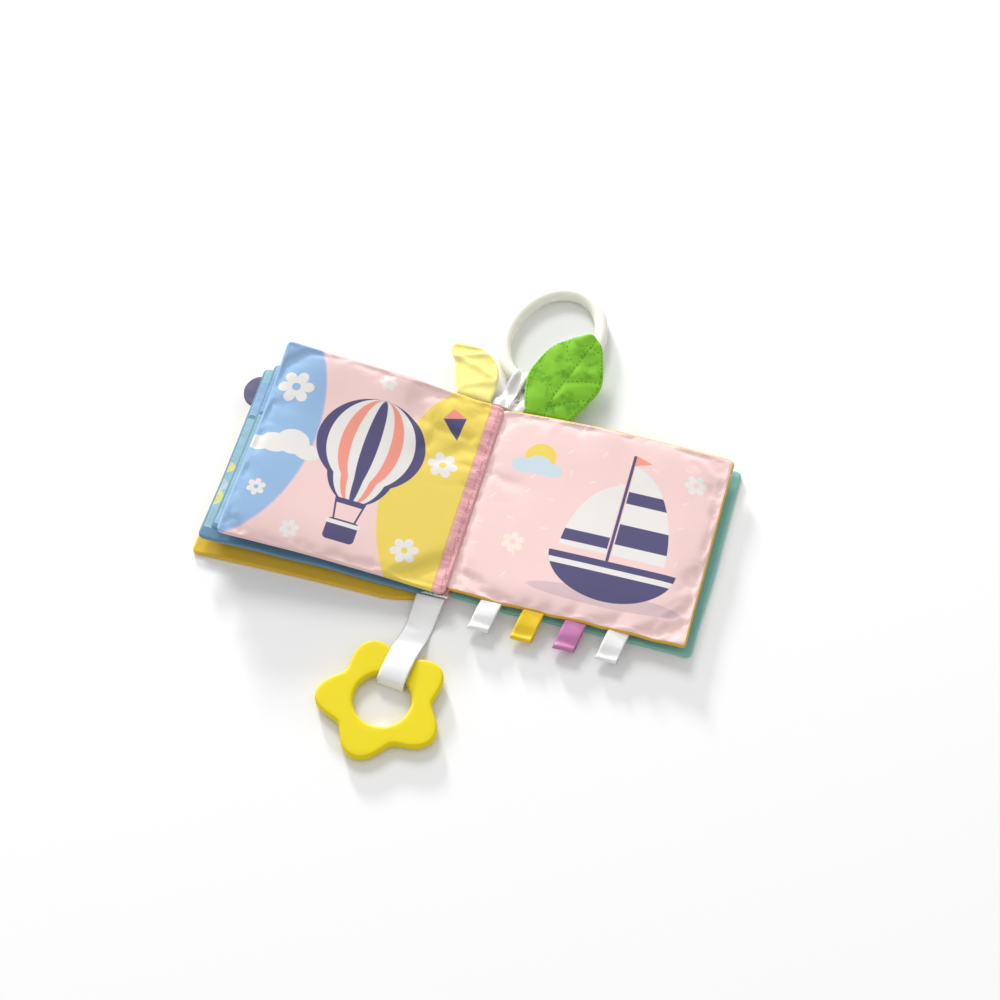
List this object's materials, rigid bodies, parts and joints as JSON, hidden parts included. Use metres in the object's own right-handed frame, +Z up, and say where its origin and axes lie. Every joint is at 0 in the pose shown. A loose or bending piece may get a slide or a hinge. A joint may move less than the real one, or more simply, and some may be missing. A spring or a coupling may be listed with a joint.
{
  "type": "crinkle cloth book",
  "caption": "Soft cloth book lying open, with padded crinkle leaves, a flower teether on a ribbon, a ring on a strap, cloth tabs and ribbon tags",
  "frame": {"origin": "on the table under the middle of the spine, on the spine strip's bottom face", "axes": "+Z up, +Y along the spine to the head of the book, +X over the right leaf"},
  "size_m": [0.2674, 0.3024, 0.0279],
  "materials": {
    "mustard_cloth": "matte knitted cloth, mustard",
    "blue_cloth": "matte knitted cloth, light blue",
    "slate_cloth": "matte knitted cloth, slate blue",
    "light_teal_cloth": "matte knitted cloth, light teal",
    "page_cloth": "matte printed cloth in blue, pink and yellow",
    "yellow_cloth": "matte knitted cloth, yellow",
    "teal_cloth": "matte knitted cloth, teal",
    "pink_cloth": "matte printed cloth, pale pink",
    "green_cloth": "matte woven cloth, green",
    "pale_yellow_cloth": "matte cloth, pale yellow",
    "violet_cloth": "matte cloth, violet grey",
    "wadding": "thin polyester wadding",
    "crinkle_film": "thin crinkling plastic film",
    "white_satin": "satin ribbon, white",
    "yellow_satin": "satin ribbon, yellow",
    "mauve_satin": "satin ribbon, mauve",
    "ivory_plastic": "smooth moulded plastic, ivory",
    "yellow_plastic": "soft moulded plastic, bright yellow"
  },
  "bodies": {
    "spine_and_left_cover": {"spine_strip": "slate_cloth", "left_cover_face_cloth": "mustard_cloth", "left_cover_back_cloth": "mustard_cloth", "left_cover_wadding": "wadding", "left_cover_film": "crinkle_film"},
    "left_leaf_1": {"left_leaf_1_face_cloth": "light_teal_cloth", "left_leaf_1_back_cloth": "blue_cloth", "left_leaf_1_wadding": "wadding", "left_leaf_1_film": "crinkle_film"},
    "left_leaf_2": {"left_leaf_2_face_cloth": "light_teal_cloth", "left_leaf_2_back_cloth": "light_teal_cloth", "left_leaf_2_wadding": "wadding", "left_leaf_2_film": "crinkle_film"},
    "left_leaf_3": {"left_leaf_3_face_cloth": "page_cloth", "left_leaf_3_back_cloth": "blue_cloth", "left_leaf_3_wadding": "wadding", "left_leaf_3_film": "crinkle_film"},
    "right_leaf": {"right_leaf_face_cloth": "pink_cloth", "right_leaf_back_cloth": "yellow_cloth", "right_leaf_wadding": "wadding", "right_leaf_film": "crinkle_film"},
    "right_cover": {"right_cover_face_cloth": "teal_cloth", "right_cover_back_cloth": "teal_cloth", "right_cover_wadding": "wadding", "right_cover_film": "crinkle_film"},
    "green_leaf": {"green_leaf_face_cloth": "green_cloth", "green_leaf_back_cloth": "green_cloth", "green_leaf_film": "crinkle_film"},
    "pale_tab": {"pale_tab_face_cloth": "pale_yellow_cloth", "pale_tab_back_cloth": "pale_yellow_cloth", "pale_tab_film": "crinkle_film"},
    "round_tab": {"round_tab_face_cloth": "violet_cloth", "round_tab_back_cloth": "violet_cloth"},
    "tag_1": {"ribbon_tag_1": "white_satin"},
    "tag_2": {"ribbon_tag_2": "yellow_satin"},
    "tag_3": {"ribbon_tag_3": "mauve_satin"},
    "tag_4": {"ribbon_tag_4": "white_satin"},
    "strap": {"ring_strap": "white_satin"},
    "ring": {"ring": "ivory_plastic"},
    "ribbon": {"teether_ribbon": "white_satin"},
    "teether": {"teether": "yellow_plastic", "teether_ribbon_loop": "white_satin"}
  },
  "joints": [
    {"name": "left_leaf_1_turn", "type": "hinge", "parent": "spine_and_left_cover", "child": "left_leaf_1", "pos_m": [0, 0, 0.0097], "axis": [0, 1, 0], "range_deg": [0, 25]},
    {"name": "left_leaf_2_turn", "type": "hinge", "parent": "left_leaf_1", "child": "left_leaf_2", "pos_m": [0, 0, 0.0097], "axis": [0, 1, 0], "range_deg": [0, 30]},
    {"name": "left_leaf_3_turn", "type": "hinge", "parent": "left_leaf_2", "child": "left_leaf_3", "pos_m": [0, 0, 0.0097], "axis": [0, 1, 0], "range_deg": [0, 110]},
    {"name": "right_leaf_turn", "type": "hinge", "parent": "spine_and_left_cover", "child": "right_leaf", "pos_m": [0, 0, 0.0097], "axis": [0, 1, 0], "range_deg": [-162, 0]},
    {"name": "right_cover_fold_back", "type": "hinge", "parent": "right_leaf", "child": "right_cover", "pos_m": [0, 0, 0], "axis": [0, 1, 0], "range_deg": [0, 160]},
    {"name": "green_leaf_flap", "type": "hinge", "parent": "right_leaf", "child": "green_leaf", "pos_m": [0.0232, 0.05937, 0.0074], "axis": [1, 0, 0], "range_deg": [0, 35], "stiffness_Nm_per_rad": 0.004},
    {"name": "pale_tab_flap", "type": "hinge", "parent": "left_leaf_3", "child": "pale_tab", "pos_m": [-0.01698, 0.05946, 0.01135], "axis": [-0.9944, 0, 0.1054], "range_deg": [0, 42], "stiffness_Nm_per_rad": 0.004},
    {"name": "round_tab_flap", "type": "hinge", "parent": "left_leaf_1", "child": "round_tab", "pos_m": [-0.13091, 0.03465, 0.00925], "axis": [0, 1, 0], "range_deg": [-35, 35], "stiffness_Nm_per_rad": 0.004},
    {"name": "ring_strap_bend", "type": "hinge", "parent": "spine_and_left_cover", "child": "strap", "pos_m": [0.0015, 0.0593, 0.0085], "axis": [1, 0, 0], "range_deg": [-25, 0]},
    {"name": "ring_swing", "type": "hinge", "parent": "strap", "child": "ring", "pos_m": [0.00624, 0.07981, 0.0055], "axis": [0.977, -0.213, 0], "range_deg": [-70, 8]},
    {"name": "teether_ribbon_bend", "type": "hinge", "parent": "spine_and_left_cover", "child": "ribbon", "pos_m": [-0.006, -0.0593, 0.006], "axis": [-1, 0, 0], "range_deg": [-20, 60]},
    {"name": "teether_lift", "type": "hinge", "parent": "ribbon", "child": "teether", "pos_m": [-0.00762, -0.07537, 0.00045], "axis": [-1, 0, 0], "range_deg": [-45, 25]},
    {"name": "tag_1_flap", "type": "hinge", "parent": "right_leaf", "child": "tag_1", "pos_m": [0.0244, -0.05935, 0.0074], "axis": [-1, 0, 0], "range_deg": [-25, 60], "stiffness_Nm_per_rad": 0.004},
    {"name": "tag_2_flap", "type": "hinge", "parent": "right_leaf", "child": "tag_2", "pos_m": [0.0463, -0.05907, 0.0074], "axis": [-1, 0, 0], "range_deg": [-25, 60], "stiffness_Nm_per_rad": 0.004},
    {"name": "tag_3_flap", "type": "hinge", "parent": "right_leaf", "child": "tag_3", "pos_m": [0.0682, -0.05901, 0.0074], "axis": [-1, 0, 0], "range_deg": [-25, 60], "stiffness_Nm_per_rad": 0.004},
    {"name": "tag_4_flap", "type": "hinge", "parent": "right_leaf", "child": "tag_4", "pos_m": [0.0901, -0.05918, 0.0074], "axis": [-1, 0, 0], "range_deg": [-25, 60], "stiffness_Nm_per_rad": 0.004}
  ]
}
